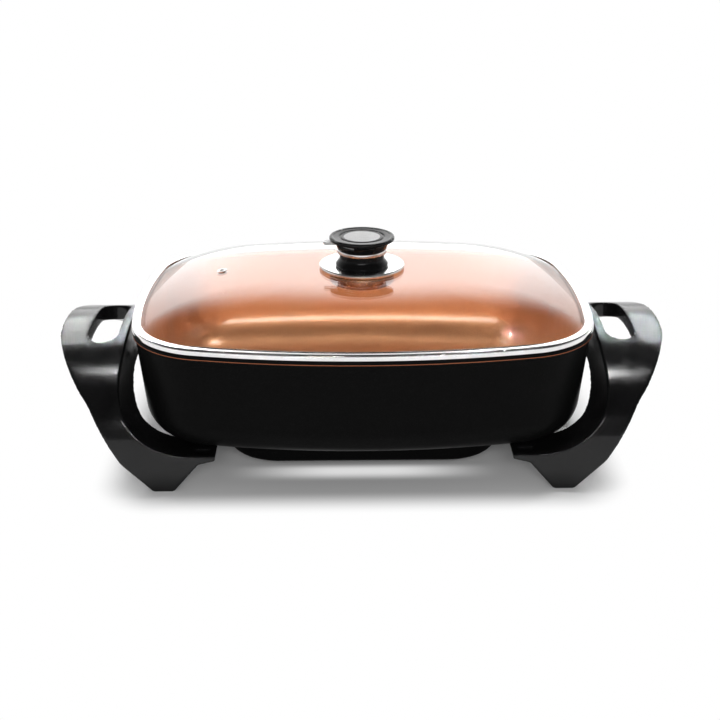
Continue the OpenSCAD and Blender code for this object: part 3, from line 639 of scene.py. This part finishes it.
def screw_spot():
    """Place in plan of one of the screws that hold the handles."""
    rim, h, from_end, from_leg = settings("rim"), settings("handles"), 12, 27
    return rim.half_length - h.tongue + from_end, rim.half_width - h.leg_inset - from_leg


def shelf_z():
    """Height of the handles' shelves, just under the pan."""
    return settings("pan").bottom_z - settings("handles").shelf_gap


class SKILLET_OT_pan(bpy.types.Operator):
    """Pan with its bead and screw bosses, and the heater ring's tighter edge"""

    bl_idname = "skillet.pan"
    bl_label = "Pan"

    def execute(self, context):
        pan, tones = settings("pan"), settings("finishes")
        bead_x = wall_x(pan.inset, pan.rim_z) + pan.bead_out
        bead_low = pan.rim_z - pan.bead_h
        inner = basin(pan.inset + pan.wall, pan.bottom_z + pan.floor, inner_bend(), pan.rim_z)
        outer = basin(pan.inset, pan.bottom_z, pan.outer_r, bead_low)
        bead = rounded([(inner[-1][0], pan.rim_z, 0.5), (bead_x, pan.rim_z, 1.0),
                        (bead_x, bead_low, 1.3), (outer[-1][0], bead_low - 1.2, 0.4)], 5)[:-1]
        obj = rim_loft("pan_body_fine", inner[:-1] + bead + outer[::-1][1:])
        line_z, line_h = pan.rim_z - 3.2, 0.7
        finish = satin_black("pan satin black", tuple(tones.pan),
                             (line_z, line_z + line_h, tuple(tones.line)))
        dress(obj, "base", "pan_finish", finish, "pan_body")
        boss_r, hole_r, sunk = 6.5, 2.2, pan.bottom_z + 4
        spot_x, spot_y = screw_spot()
        for sx, sy in ((-1, -1), (1, -1), (-1, 1), (1, 1)):
            boss = turned("pan_boss", rounded([
                (hole_r, shelf_z(), 0), (boss_r, shelf_z(), 0.4), (boss_r, sunk, 0),
                (hole_r, sunk, 0)], 4), 48)
            boss.data.transform(Matrix.Translation(Vector((sx * spot_x, sy * spot_y, 0)) * MM))
            dress(boss, "base", "pan_finish", finish)
        cast = satin_black("heater satin black", tuple(tones.pan))
        low, edge_r, round_r, over = pan.heater_z, 4, 20, 0.03
        section = ([(over, low + round_r)]
                   + arc(over - edge_r, low + edge_r, edge_r, 0, -90, 8)
                   + [(-round_r, low - over)]
                   + arc(-round_r, low + round_r, round_r - 1, -90, 0, 12))
        rings = [box_ring(pan.heater_x, pan.heater_y, pan.heater_r, *point) for point in section]
        dress(mesh_object("heater_edge", *skin_rings(rings, True)), "base", "pan_finish", cast)
        paint("heater_casting", cast)
        return {"FINISHED"}


class SKILLET_OT_coating(bpy.types.Operator):
    """Copper-coloured cooking surface"""

    bl_idname = "skillet.coating"
    bl_label = "Coating"

    def execute(self, context):
        pan, tones, gap = settings("pan"), settings("finishes"), 0.05
        inset = pan.inset + pan.wall + gap
        low, r = pan.bottom_z + pan.floor + gap, inner_bend() - gap
        inner = basin(inset + pan.coating, low + pan.coating, r - pan.coating, pan.rim_z)
        outer = basin(inset, low, r, pan.rim_z)
        obj = rim_loft("interior_coating_fine", inner + outer[::-1])
        dress(obj, "base", "copper_coating",
              copper_coating("copper flake coating", tuple(tones.copper), tones.copper_rough),
              "interior_coating")
        return {"FINISHED"}


def dome_z(share):
    """Height of the glass's top at a share of the way from its level middle to its edge."""
    lid = settings("lid")
    edge_z = lid.seat_z + (lid.band_h + lid.glass_t) / 2
    return edge_z + lid.dome_rise * (1 - share ** lid.dome_power)


def vent_matrix():
    """Stands a turned piece square on the glass at the vent, in metres."""
    lid = settings("lid")
    reach = settings("rim").half_length - lid.band_lip - 1

    def height(x):
        return dome_z(max(0, (x / reach - lid.dome_flat) / (1 - lid.dome_flat)))

    tilt = math.atan((height(lid.vent_x - 1) - height(lid.vent_x + 1)) / 2)
    place = Vector((-lid.vent_x, 0, height(lid.vent_x))) * MM
    return Matrix.Translation(place) @ Matrix.Rotation(-tilt, 4, "Y")


class SKILLET_OT_glass(bpy.types.Operator):
    """Domed glass of the lid"""

    bl_idname = "skillet.glass"
    bl_label = "Glass"

    def execute(self, context):
        lid = settings("lid")
        inset, edge, bevel = lid.band_lip + 1, lid.band_t + 0.4, 0.8
        top = []
        for i in range(lid.dome_steps + 1):
            share = (i / lid.dome_steps) ** 0.8
            top.append((-inset, dome_z(share), lid.dome_flat + (1 - lid.dome_flat) * share))
        high, low = dome_z(1), dome_z(1) - lid.glass_t
        section = top + [(-edge - bevel, high), (-edge, high - bevel), (-edge, low + bevel),
                         (-edge - bevel, low)]
        section += [(out, z - lid.glass_t, share) for out, z, share in reversed(top)]
        obj = rim_loft("lid_glass_fine", section)
        hole_r, vent_r, crown = 6, 3.25, dome_z(0)
        hole = plug("hole", hole_r, crown - 8, crown + 4, 64)
        vent = plug("vent hole", vent_r, -6, 6, 48)
        vent.data.transform(vent_matrix())
        shaded(combined(obj, "DIFFERENCE", hole, vent), 30)
        dress(obj, "lid", "lid_glass", clear_glass("clear lid glass"), "lid_glass")
        return {"FINISHED"}


class SKILLET_OT_band(bpy.types.Operator):
    """Steel band and vent eyelet of the lid"""

    bl_idname = "skillet.band"
    bl_label = "Band"

    def execute(self, context):
        tones, lid, play = settings("finishes"), settings("lid"), 0.05
        bright = bright_steel("polished steel", tuple(tones.steel))
        top, low, lip, sheet = lid.seat_z + lid.band_h, lid.seat_z, -lid.band_lip, lid.band_t
        over, under, skirt = dome_z(1) + play, dome_z(1) - lid.glass_t - play, low - lid.skirt_h
        inside = -sheet - 0.35
        section = rounded([
            (lip, over, 0.15), (lip, top, 0.5), (0, top, 1.9), (0, low, 1.9),
            (lip + sheet, low, 0.25), (lip + sheet, skirt, 0.3), (lip, skirt, 0.3),
            (lip, under, 0.15), (inside, under, 0.2), (inside, over, 0.2)], 7)
        band = rim_loft("lid_band_fine", section, closed=True, smooth_angle=40)
        dress(band, "lid", "polished_steel", bright, "lid_band")
        bore, stem, flange = 2, 3.2, 4.7
        eyelet = turned("vent_eyelet_fine", rounded([
            (bore, -5, 0.4), (flange, -5, 0.5), (flange, -4.1, 0.3), (stem, -4, 0.1),
            (stem, play, 0.1), (flange, play, 0.3), (flange, 0.95, 0.5), (bore, 0.95, 0.6)], 4), 64)
        eyelet.data.transform(vent_matrix())
        dress(eyelet, "lid", "polished_steel", bright, "vent_eyelet")
        return {"FINISHED"}


class SKILLET_OT_knob(bpy.types.Operator):
    """Knob, dish, under plate, gaskets, insert and steam lever"""

    bl_idname = "skillet.knob"
    bl_label = "Knob"

    def execute(self, context):
        tones, knob = settings("finishes"), settings("knob")
        black = black_moulding("knob moulding", tuple(tones.moulding), tones.knob_rough, 0.15)
        bright = bright_steel("polished knob steel", tuple(tones.steel))
        glass = dome_z(0)
        base, top = glass + 2, glass + knob.knob_h
        ring_z, grip_z, cap_z = base + 12, base + 16, top - 4.9
        neck, land, under = cap_z - 3, top - 0.6, glass - 5
        waist, rim, dish = knob.waist_d / 2, knob.cap_d / 2, knob.dish_d / 2
        post, hole, core, seat, inlay, inlay_t = 6.05, 3.25, 17, 20.8, 16.5, 0.8
        groove, groove_in, groove_z = 20.9, 19.1, land - 0.9
        foot, scoop, sheet, cup, cup_t, cup_h = waist + 2.2, waist - 2.3, 1, 29.3, 1.2, 10

        def part(name, corners, slot, finish):
            obj = turned(name + "_fine", rounded(corners), 192, 30)
            dress(obj, "lid", slot, finish, name)

        part("knob_dish", [
            (hole, base, 0), (foot, base, 8), (dish, base + 1.9, 1.4), (dish, glass + 0.6, 0.45),
            (dish - sheet, glass + 0.6, 0.45), (dish - sheet, base + 0.78, 0.4),
            (foot, base - sheet, 8), (hole, base - sheet, 0)], "polished_steel", bright)
        part("knob_base", [
            (post, base, 0), (waist + 0.8, base, 0.3), (waist + 1.4, base + 1.6, 0.8),
            (scoop, base + 6.5, 5), (scoop, ring_z, 0), (post, ring_z, 0)], "knob_moulding", black)
        part("knob_ring", [
            (post, ring_z, 0), (waist, ring_z, 0.8), (waist, grip_z, 0.8), (post, grip_z, 0)],
            "polished_steel", bright)
        part("knob_grip", [
            (post, grip_z, 0), (waist - 0.2, grip_z, 0.5), (waist + 0.9, neck, 0),
            (core, neck, 0), (core, cap_z, 0), (post, cap_z, 0)], "knob_moulding", black)
        cap = turned("knob_cap_fine", rounded([
            (0, cap_z, 0), (seat, cap_z, 0), (seat, neck + 0.05, 0.2),
            (waist + 0.92, neck + 0.05, 0), (waist + 1.5, cap_z - 0.7, 2.5), (rim, top - 3, 1.2),
            (rim, top, 1.3), (rim - 2.8, top, 1.2), (rim - 3.6, land, 0.6), (groove, land, 0.4),
            (groove, groove_z, 0.3), (groove_in, groove_z, 0.3), (groove_in, land, 0.4),
            (inlay + 0.05, land, 0.2), (inlay + 0.05, land - inlay_t, 0),
            (0, land - inlay_t, 0)], 5), 192, 30)
        swing, half, reach = knob.lever_turn, knob.lever_w / 2, 80
        fan = [(0, 0)] + arc(0, 0, -reach, 0, math.degrees(swing), 12)
        slots = [bar("slot", Z, fan, neck - 1, cap_z)]
        for turn in (0, swing):
            slot = block("slot", (-reach, -half, neck - 1), (0, half, cap_z))
            slot.data.transform(Matrix.Rotation(turn, 4, "Z"))
            slots.append(slot)
        sweep = combined(slots[0], "UNION", *slots[1:])
        combined(sweep, "DIFFERENCE", plug("middle", seat - 0.3, neck - 3, cap_z + 2))
        shaded(combined(cap, "DIFFERENCE", sweep), 30)
        dress(cap, "lid", "knob_moulding", black, "knob_cap")
        part("knob_inlay", [
            (0, land - inlay_t, 0), (inlay, land - inlay_t, 0), (inlay, land, 0.3), (0, land, 0)],
            "knob_inlay", grained("grained inlay", tuple(tones.inlay), 1500, 0.08, 0.5))
        # The under plate's brown tint is a painted reflection of the copper coating plus painted
        # shade under the knob.
        part("under_plate", [
            (hole, under - cup_t, 0), (hole, under, 0), (cup, under, 4), (cup, under - cup_h, 0.5),
            (cup - cup_t, under - cup_h, 0.5), (cup - cup_t, under - cup_t, 2.8)],
            "polished_steel", bright_steel("under plate steel with painted reflection", (0.34, 0.17, 0.09), (0.2, 0.3)))
        paint("steam_lever", grained("grained lever", tuple(tones.lever), 1200, 0.06, 0.45))
        silicone = grained("silicone gasket", (0.55, 0.52, 0.48), 800, 0.03, 0.5)
        for node in ("under_gasket", "dish_gasket"):
            paint(node, silicone)
        paint("knob_insert", plated_steel("brass insert", (0.75, 0.52, 0.22), (0.2, 0.35)))
        return {"FINISHED"}


class SKILLET_OT_handles(bpy.types.Operator):
    """Handle mouldings"""

    bl_idname = "skillet.handles"
    bl_label = "Handles"

    def execute(self, context):
        tones = settings("finishes")
        black = black_moulding("handle moulding", tuple(tones.moulding), tones.handle_rough, 0.32)
        right = handle_mesh("handle_right_fine")
        left = bpy.data.objects.new("handle_left_fine", right.data.copy())
        context.scene.collection.objects.link(left)
        left.data.transform(Matrix.Scale(-1, 4, (1, 0, 0)))
        left.data.flip_normals()
        dress(right, "base", "handle_moulding", black, "handle_right")
        dress(left, "base", "handle_moulding", black, "handle_left")
        return {"FINISHED"}


def arch_outline(inset, low=-10):
    """Side view under the handle's arch, inset from the outer face, and its greatest height."""
    h = settings("handles")
    leg, turn = settings("rim").half_width - h.leg_inset, math.degrees(h.shoulder_turn)
    reach = leg - h.shoulder_r
    crown = (leg - h.shoulder_r * (1 - math.cos(h.shoulder_turn))) / math.cos(h.shoulder_turn)
    mid = h.shoulder_z + (h.shoulder_r - crown) * math.sin(h.shoulder_turn)
    points = [(leg - inset, low)]
    points += arc(reach, h.shoulder_z, h.shoulder_r - inset, 0, turn, 24)
    points += arc(0, mid, crown - inset, turn, 180 - turn, 60)[1:-1]
    points += arc(-reach, h.shoulder_z, h.shoulder_r - inset, 180 - turn, 180, 24)
    return points + [(inset - leg, low)], mid + crown


def handle_mesh(name):
    """One moulded handle: skin, flange towards the pan, lip, hand slot, ribs and two feet."""
    rim, h, shelf = settings("rim"), settings("handles"), shelf_z()
    t, leg = h.flange, rim.half_width - h.leg_inset
    outer, crown = arch_outline(0)
    above, below, far_below = crown + 10, -15, -20
    foot_out, flange_x, slot_x = [rim.half_length + out for out in (-23, 6, 28.5)]
    foot_in, tongue, shoulder = foot_out - 18, rim.half_length - h.tongue, flange_x + 61.5
    corners = [
        (foot_in, 0, 2), (foot_out, 0, 2), (foot_out + 26.5, 26, 30), (flange_x + 24.5, 75, 60),
        (shoulder, crown - 3.35, 8), (shoulder + 2, above, 0), (flange_x, above, 0),
        (flange_x, shelf, h.flange_r), (tongue, shelf, 0), (tongue, shelf - 4.5, 1),
        (foot_in - 21.5, 25, 4)]
    x0, x1 = tongue - 2, shoulder + 32

    def arched(name, outline, steps, side):
        """A front view as wide as the legs, kept under an arch."""
        return combined(bar(name, Y, rounded(outline, steps), -leg - 1, leg + 1), "INTERSECT",
                        bar("arch", X, side, x0, x1))

    def slot_plan(grow):
        run, r = (h.slot_l - h.slot_w) / 2, h.slot_w / 2 + grow
        return arc(slot_x, run, r, 0, 180, 32) + arc(slot_x, -run, r, 180, 360, 32)

    body = arched(name, corners, 28, outer)
    behind = arched("behind", [
        (flange_x + t, above, 0), (flange_x + t, shelf - t, h.flange_r + t),
        (tongue - 1, shelf - t, 0), (tongue - 1, below, 0), (x1 + 1, below, 0),
        (x1 + 1, above, 0)], 40, arch_outline(h.lip_depth, far_below)[0])
    pocket = arched("pocket", drawn_in(corners, t), 28, arch_outline(h.skin, far_below)[0])
    keep = [bar("slot wall", Z, slot_plan(t), shelf + 10, above + 10)]
    rib_t, past = 2.5, 3
    for z in (17, 40):
        keep.append(block("rib", (x0 - 1, -leg - past, z), (x1 + past, leg + past, z + rib_t)))
    combined(pocket, "DIFFERENCE", *keep)
    room = bar("room", X, arch_outline(h.flange_depth, far_below)[0], x0 - past, x1 + past)
    tools = [room, behind, pocket, bar("slot", Z, slot_plan(0), 0, above + 12)]
    screw_x, screw_y = screw_spot()
    screw_r, half_x, half_y, deep = 2.75, 7, 5.25, 2.6
    for s in (-1, 1):
        side = s * (leg - 10.8)
        tools.append(bar("screw hole", Z, arc(screw_x, s * screw_y, screw_r, 0, 348.75, 31),
                         shelf - t - 1, shelf + 1))
        tools.append(block("window", (screw_x - half_x, side - half_y, shelf - deep),
                           (screw_x + half_x, side + half_y, shelf + 1)))
    combined(body, "DIFFERENCE", *tools)
    grid = body.modifiers.new("grid", "REMESH")
    grid.mode, grid.voxel_size, grid.use_smooth_shade = "VOXEL", h.voxel * MM, True
    soft = body.modifiers.new("soft", "SMOOTH")
    soft.factor, soft.iterations = 0.5, h.soften
    settled(body)
    body.data.shade_smooth()
    return body


class SKILLET_OT_fittings(bpy.types.Operator):
    """Heating element, inlet parts, screws and washers"""

    bl_idname = "skillet.fittings"
    bl_label = "Fittings"

    def execute(self, context):
        plated = plated_steel("zinc plated steel", (0.55, 0.55, 0.54), (0.22, 0.38))
        for node in ("handle_screws", "handle_washers", "guard_screws", "inlet_guard",
                     "knob_screw", "sensor_sleeve"):
            paint(node, plated)
        paint("terminal_pins", plated_steel("nickel plated pins", (0.66, 0.63, 0.58),
                                            (0.15, 0.28)))
        paint("heating_element", plated_steel("oxidised element tube", (0.16, 0.17, 0.15),
                                              (0.4, 0.6), metallic=0.7))
        paint("terminal_insulators", grained("white ceramic", (0.72, 0.70, 0.64), 1100, 0.04, 0.5))
        return {"FINISHED"}


# ---- Studio ----


def aim(obj, place, target):
    """Stands an object at a place with its -Z towards a target."""
    obj.location = place
    obj.rotation_euler = (Vector(target) - Vector(place)).to_track_quat("-Z", "Y").to_euler()


def lamp(name, place, target, size, radiance, fades=(), mirrored=False):
    """Soft lamp out of the camera's sight; fades are (axis, dark end, full end) in metres."""
    light = bpy.data.lights.new(name, "AREA")
    light.shape = "RECTANGLE"
    light.size, light.size_y = size
    light.energy = radiance * math.pi * size[0] * size[1]
    light.cycles.use_multiple_importance_sampling = mirrored
    g = Graph(light)
    way, level = g.split(g.node("NewGeometry").outputs["Position"]), 1.0
    for axis, dark, full in fades:
        level = g.math("MULTIPLY", g.ramp(g.math("ABSOLUTE", way[axis]), dark, full, 0, 1), level)
    g.end("Light", g.shader("Emission", ("Color", WHITE), ("Strength", level)))
    obj = bpy.data.objects.new(name, light)
    obj.visible_camera, obj.visible_transmission = False, mirrored
    bpy.context.scene.collection.objects.link(obj)
    aim(obj, place, target)


def studio_world(ambient):
    """White for the camera, a white horizon and dark upper room for gloss, soft light otherwise."""
    world = bpy.data.worlds.new("studio")
    bpy.context.scene.world = world
    g = Graph(world)

    def sky(strength):
        return g.shader("Background", ("Color", WHITE), ("Strength", strength))

    way = g.split(g.node("TexCoord").outputs["Generated"])
    # Gloss finds a bright horizon, a dark room above it and a dimmer one on the camera's side.
    horizon = g.ramp(way[Z], 0.18, 0.60, 0.88, 0.05)
    behind = g.ramp(way[Y], -0.60, 0.10, 0.25, 1.0)
    path = g.node("LightPath").outputs
    passed, glossy = path["Is Transmission Ray"], path["Glossy Depth"]
    bounced = g.math("MINIMUM", g.math("ADD", path["Diffuse Depth"], glossy), 1)
    soft = g.math("MULTIPLY", ambient, g.math("SUBTRACT", 1, g.math("MULTIPLY", passed, 0.5)))
    shiny = g.math("MULTIPLY", passed, g.math("MINIMUM", glossy, 1))
    room = g.either(g.math("MAXIMUM", path["Is Glossy Ray"], shiny), sky(soft),
                    sky(g.math("MULTIPLY", horizon, behind)))
    through = g.math("MULTIPLY", passed, g.math("SUBTRACT", 1, bounced))
    seen = g.math("MAXIMUM", path["Is Camera Ray"], through)
    g.end("World", g.either(seen, room, sky(1.0)))


def floor_finish():
    """Pale floor that keeps a soft shadow and turns plain white away from the object."""
    material = bpy.data.materials.new("pale floor")
    g = Graph(material)
    feet, start, end, pale = (0.175, 0.103, 0), 0.022, 0.062, 0.80
    whole = g.vector("ABSOLUTE", g.node("TexCoord").outputs["Object"])
    away = g.vector("LENGTH", g.vector("MAXIMUM", g.vector("SUBTRACT", whole, feet)))
    x, y = g.split(whole)[:2]
    # Painted light: a brighter band of glow painted into the floor under the middle of the long
    # sides.
    strip = g.math("MULTIPLY", g.ramp(y, 0.074, 0.086, 0, 1), g.ramp(y, 0.090, 0.108, 1, 0))
    painted_glow = g.math("MULTIPLY", g.ramp(x, 0.02, 0.13, 0.5, 0), strip)
    level = g.math("ADD", g.ramp(away, start, end, 0.04, 1), painted_glow)
    matt = g.shader("BsdfDiffuse", ("Color", g.ramp(away, start, end, pale, 0)))
    lit = g.node("AddShader", ((0, matt), (1, g.shader("Emission", ("Strength", level)))))
    bare = g.shader("BsdfDiffuse", ("Color", (pale, pale, pale)))
    above = g.either(g.node("LightPath").outputs["Is Diffuse Ray"], lit.outputs[0], bare)
    underside = g.node("NewGeometry").outputs["Backfacing"]
    g.end("Material", g.either(underside, above, g.shader("BsdfTransparent")))
    return material


class SKILLET_OT_stage(bpy.types.Operator):
    """Camera, floor, world and lamps"""

    bl_idname = "skillet.stage"
    bl_label = "Stage"

    def execute(self, context):
        studio = settings("studio")
        camera = bpy.data.cameras.new("camera")
        camera.lens, camera.sensor_width = studio.lens, 36
        camera.shift_x, camera.shift_y = -0.0026, -0.0940
        camera.clip_start, camera.clip_end = 0.05, 50
        view = bpy.data.objects.new("camera", camera)
        context.scene.collection.objects.link(view)
        reach = studio.distance * math.cos(studio.elevation)
        aim(view, (reach * math.sin(studio.azimuth), -reach * math.cos(studio.azimuth),
                   studio.aim_z + studio.distance * math.sin(studio.elevation)),
            (0, 0, studio.aim_z))
        context.scene.camera = view
        low, half = cad_box[0][2] / MM, 3000
        floor = mesh_object("floor", [(-half, -half, low), (half, -half, low), (half, half, low),
                                      (-half, half, low)], [(0, 1, 2, 3)])
        floor.data.materials.append(floor_finish())
        studio_world(studio.ambient)
        lamp("backdrop lamp", place=(0, 2.2, 1.35), target=(0, 0, 1.35), size=(3.2, 2.1),
             radiance=studio.backdrop, fades=((Z, 2.4, 0.7), (X, 1.5, 0.5)), mirrored=True)
        for side, name in ((-1, "left"), (1, "right")):
            # The right strip stands further out and nearer the camera, and is brighter.
            x, y = side * (0.45 + 0.03 * side), 0.18 - 0.06 * side
            lamp(name + " strip", place=(x, y, 1.5), target=(x, y - 0.01, 0), size=(0.24, 0.11),
                 radiance=studio.strips * (1.2 + 0.5 * side), fades=((X, 0.60, 0.44),))
            lamp(name + " rear box", place=(side * 0.85, 1.30, 1.25), target=(0, 0, 0.1),
                 size=(1.3, 1.0), radiance=studio.boxes * (1.68 + 0.02 * side),
                 fades=((X, 1.5, 0.9), (X, 0.22, 0.4)))
            lamp(name + " front lamp", place=(side * 0.17, -1.0, 0.50), target=(0, 0.13, 0.08),
                 size=(0.3, 0.16), radiance=studio.keys)
        context.scene.view_settings.view_transform = "Standard"
        return {"FINISHED"}


class SKILLET_PT_panel(bpy.types.Panel):
    """Lists the build steps"""

    bl_label = "Electric Skillet"
    bl_idname = "SKILLET_PT_panel"
    bl_space_type = "VIEW_3D"
    bl_region_type = "UI"
    bl_category = "Skillet"

    def draw(self, context):
        for group in GROUPS:
            box = self.layout.box()
            box.label(text=group.replace("skillet_", "").title())
            for name in getattr(context.scene, group).bl_rna.properties.keys():
                if name not in ("rna_type", "name"):
                    box.prop(getattr(context.scene, group), name)
        for step in STEPS:
            self.layout.operator(step.bl_idname)


GROUPS = {"skillet_rim": RimSizes, "skillet_pan": PanSizes, "skillet_lid": LidSizes,
          "skillet_knob": KnobSizes, "skillet_handles": HandleSizes, "skillet_finishes": Finishes,
          "skillet_studio": StudioSettings}
STEPS = (SKILLET_OT_stage, SKILLET_OT_pan, SKILLET_OT_coating, SKILLET_OT_glass, SKILLET_OT_band,
         SKILLET_OT_knob, SKILLET_OT_handles, SKILLET_OT_fittings)


def register():
    for cls in (*GROUPS.values(), *STEPS, SKILLET_PT_panel):
        bpy.utils.register_class(cls)
    for name, group in GROUPS.items():
        setattr(bpy.types.Scene, name, PointerProperty(type=group))


def unregister():
    for name in GROUPS:
        delattr(bpy.types.Scene, name)
    for cls in (SKILLET_PT_panel, *reversed(STEPS), *reversed(list(GROUPS.values()))):
        bpy.utils.unregister_class(cls)


def main():
    register()
    for step in STEPS:
        area, action = step.bl_idname.split(".")
        if getattr(getattr(bpy.ops, area), action)() != {"FINISHED"}:
            raise RuntimeError(f"{step.bl_label} did not finish")


if __name__ == "__main__":
    main()
